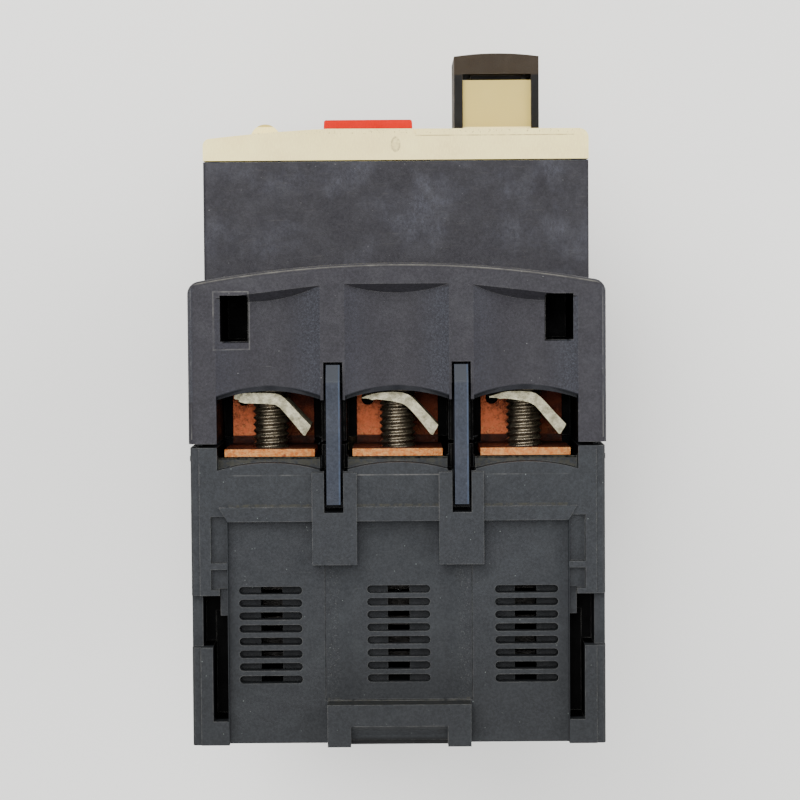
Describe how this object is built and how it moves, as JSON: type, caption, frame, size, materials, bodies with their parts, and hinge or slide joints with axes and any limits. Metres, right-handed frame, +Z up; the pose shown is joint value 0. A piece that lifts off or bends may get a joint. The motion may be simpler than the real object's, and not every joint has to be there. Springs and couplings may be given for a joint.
{
  "type": "motor protection circuit breaker",
  "caption": "Rail-mounted three-pole motor breaker with start and stop push buttons, a current dial and screw-clamp terminals at both ends.",
  "frame": {"origin": "centre of the rail seat on the rear, midway across the width and up the height", "axes": "+Z up along the height, line terminals at the top; +X to the right seen from the front; the operator front faces -Y"},
  "size_m": [0.0448, 0.0766, 0.093],
  "materials": {
    "charcoal_plastic": "fine grain, lightly worn edges",
    "cream_plastic": "smooth satin",
    "red_plastic": "satin",
    "black_plastic": "fine grain",
    "blue_grey_plastic": "fine grain",
    "copper": "cut copper sheet",
    "zinc": "zinc plated",
    "screw_steel": "zinc plated, darker in the thread",
    "steel": "plain",
    "spring_steel": "bright wire",
    "ivory_plastic": "moulded insulator"
  },
  "bodies": {
    "breaker": {"rear_base": "charcoal_plastic", "front_housing": "charcoal_plastic", "shroud_line": "charcoal_plastic", "shroud_load": "charcoal_plastic", "front_cover": "cream_plastic", "housing_screws": "steel", "mechanism_frame": "steel", "stop_spring": "spring_steel", "clip_spring": "spring_steel", "contact_springs": "spring_steel", "arc_plates_line": "steel", "arc_plates_load": "steel", "barrier_line_1": "blue_grey_plastic", "barrier_line_2": "blue_grey_plastic", "bar_line_1": "copper", "bar_line_2": "copper", "bar_line_3": "copper", "barrier_load_1": "blue_grey_plastic", "barrier_load_2": "blue_grey_plastic", "bar_load_1": "copper", "bar_load_2": "copper", "bar_load_3": "copper", "coil_1": "copper", "yoke_1": "steel", "bimetal_1": "steel", "coil_2": "copper", "yoke_2": "steel", "bimetal_2": "steel", "coil_3": "copper", "yoke_3": "steel", "bimetal_3": "steel"},
    "start_button": {"start_cap": "black_plastic", "start_core": "cream_plastic"},
    "stop_button": {"stop_button": "red_plastic"},
    "setting_dial": {"setting_dial": "black_plastic"},
    "test_slider": {"test_slider": "red_plastic"},
    "rail_clip": {"rail_clip": "black_plastic"},
    "toggle_lever": {"toggle_lever": "steel"},
    "trip_bar": {"trip_bar": "ivory_plastic"},
    "contact_carrier": {"contact_carrier": "ivory_plastic", "bridge_1": "copper", "bridge_2": "copper", "bridge_3": "copper"},
    "plunger_1": {"plunger_1": "steel"},
    "plunger_2": {"plunger_2": "steel"},
    "plunger_3": {"plunger_3": "steel"},
    "clamp_line_1": {"clamp_line_1": "zinc"},
    "screw_line_1": {"screw_line_1": "screw_steel"},
    "clamp_line_2": {"clamp_line_2": "zinc"},
    "screw_line_2": {"screw_line_2": "screw_steel"},
    "clamp_line_3": {"clamp_line_3": "zinc"},
    "screw_line_3": {"screw_line_3": "screw_steel"},
    "clamp_load_1": {"clamp_load_1": "zinc"},
    "screw_load_1": {"screw_load_1": "screw_steel"},
    "clamp_load_2": {"clamp_load_2": "zinc"},
    "screw_load_2": {"screw_load_2": "screw_steel"},
    "clamp_load_3": {"clamp_load_3": "zinc"},
    "screw_load_3": {"screw_load_3": "screw_steel"}
  },
  "joints": [
    {"name": "start_push", "type": "slide", "parent": "breaker", "child": "start_button", "axis": [0, 1, 0], "range_m": [0, 0.006]},
    {"name": "contact_lift", "type": "slide", "parent": "breaker", "child": "contact_carrier", "axis": [0, -1, 0], "range_m": [0, 0.00215], "deforming": ["contact_springs"]},
    {"name": "toggle_swing", "type": "hinge", "parent": "breaker", "child": "toggle_lever", "pos_m": [0, -0.041, 0.011], "axis": [1, 0, 0], "range_deg": [0, 18]},
    {"name": "stop_push", "type": "slide", "parent": "breaker", "child": "stop_button", "axis": [0, 1, 0], "range_m": [0, 0.0026], "stiffness_N_per_m": 900, "springref_m": -0.002, "deforming": ["stop_spring"]},
    {"name": "dial_turn", "type": "hinge", "parent": "breaker", "child": "setting_dial", "pos_m": [0.009, -0.059, -0.0115], "axis": [0, 1, 0], "range_deg": [-135, 135]},
    {"name": "test_slide", "type": "slide", "parent": "breaker", "child": "test_slider", "axis": [1, 0, 0], "range_m": [0, 0.0026], "stiffness_N_per_m": 300, "springref_m": -0.0015},
    {"name": "trip_bar_turn", "type": "hinge", "parent": "breaker", "child": "trip_bar", "pos_m": [0, -0.0505, -0.012], "axis": [1, 0, 0], "range_deg": [0, 12], "stiffness_Nm_per_rad": 0.02, "springref_deg": -8.59},
    {"name": "clip_slide", "type": "slide", "parent": "breaker", "child": "rail_clip", "axis": [0, 0, -1], "range_m": [0, 0.003], "stiffness_N_per_m": 2500, "springref_m": -0.0015, "deforming": ["clip_spring"]},
    {"name": "plunger_strike_1", "type": "slide", "parent": "breaker", "child": "plunger_1", "axis": [0, -1, 0], "range_m": [-0.0024, 0], "stiffness_N_per_m": 120, "springref_m": 0.002},
    {"name": "plunger_strike_2", "type": "slide", "parent": "breaker", "child": "plunger_2", "axis": [0, -1, 0], "range_m": [-0.0024, 0], "stiffness_N_per_m": 120, "springref_m": 0.002},
    {"name": "plunger_strike_3", "type": "slide", "parent": "breaker", "child": "plunger_3", "axis": [0, -1, 0], "range_m": [-0.0024, 0], "stiffness_N_per_m": 120, "springref_m": 0.002},
    {"name": "clamp_line_1_slide", "type": "slide", "parent": "breaker", "child": "clamp_line_1", "axis": [0, 1, 0], "range_m": [0, 0.0012]},
    {"name": "screw_line_1_turn", "type": "hinge", "parent": "clamp_line_1", "child": "screw_line_1", "pos_m": [0.0138, -0.029, 0.0385], "axis": [0, 1, 0], "range_deg": [0, 617.5]},
    {"name": "clamp_line_2_slide", "type": "slide", "parent": "breaker", "child": "clamp_line_2", "axis": [0, 1, 0], "range_m": [0, 0.0012]},
    {"name": "screw_line_2_turn", "type": "hinge", "parent": "clamp_line_2", "child": "screw_line_2", "pos_m": [0, -0.029, 0.0385], "axis": [0, 1, 0], "range_deg": [0, 617.5]},
    {"name": "clamp_line_3_slide", "type": "slide", "parent": "breaker", "child": "clamp_line_3", "axis": [0, 1, 0], "range_m": [0, 0.0012]},
    {"name": "screw_line_3_turn", "type": "hinge", "parent": "clamp_line_3", "child": "screw_line_3", "pos_m": [-0.0138, -0.029, 0.0385], "axis": [0, 1, 0], "range_deg": [0, 617.5]},
    {"name": "clamp_load_1_slide", "type": "slide", "parent": "breaker", "child": "clamp_load_1", "axis": [0, 1, 0], "range_m": [0, 0.0012]},
    {"name": "screw_load_1_turn", "type": "hinge", "parent": "clamp_load_1", "child": "screw_load_1", "pos_m": [0.0138, -0.029, -0.0385], "axis": [0, 1, 0], "range_deg": [0, 617.5]},
    {"name": "clamp_load_2_slide", "type": "slide", "parent": "breaker", "child": "clamp_load_2", "axis": [0, 1, 0], "range_m": [0, 0.0012]},
    {"name": "screw_load_2_turn", "type": "hinge", "parent": "clamp_load_2", "child": "screw_load_2", "pos_m": [0, -0.029, -0.0385], "axis": [0, 1, 0], "range_deg": [0, 617.5]},
    {"name": "clamp_load_3_slide", "type": "slide", "parent": "breaker", "child": "clamp_load_3", "axis": [0, 1, 0], "range_m": [0, 0.0012]},
    {"name": "screw_load_3_turn", "type": "hinge", "parent": "clamp_load_3", "child": "screw_load_3", "pos_m": [-0.0138, -0.029, -0.0385], "axis": [0, 1, 0], "range_deg": [0, 617.5]}
  ],
  "couplings": [
    {"joint": "contact_lift", "follows": "start_push", "ratio": 0.3583},
    {"joint": "toggle_swing", "follows": "start_push", "rad_per_m": 52.355},
    {"joint": "screw_line_1_turn", "follows": "clamp_line_1_slide", "rad_per_m": 8976},
    {"joint": "screw_line_2_turn", "follows": "clamp_line_2_slide", "rad_per_m": 8976},
    {"joint": "screw_line_3_turn", "follows": "clamp_line_3_slide", "rad_per_m": 8976},
    {"joint": "screw_load_1_turn", "follows": "clamp_load_1_slide", "rad_per_m": 8976},
    {"joint": "screw_load_2_turn", "follows": "clamp_load_2_slide", "rad_per_m": 8976},
    {"joint": "screw_load_3_turn", "follows": "clamp_load_3_slide", "rad_per_m": 8976}
  ]
}
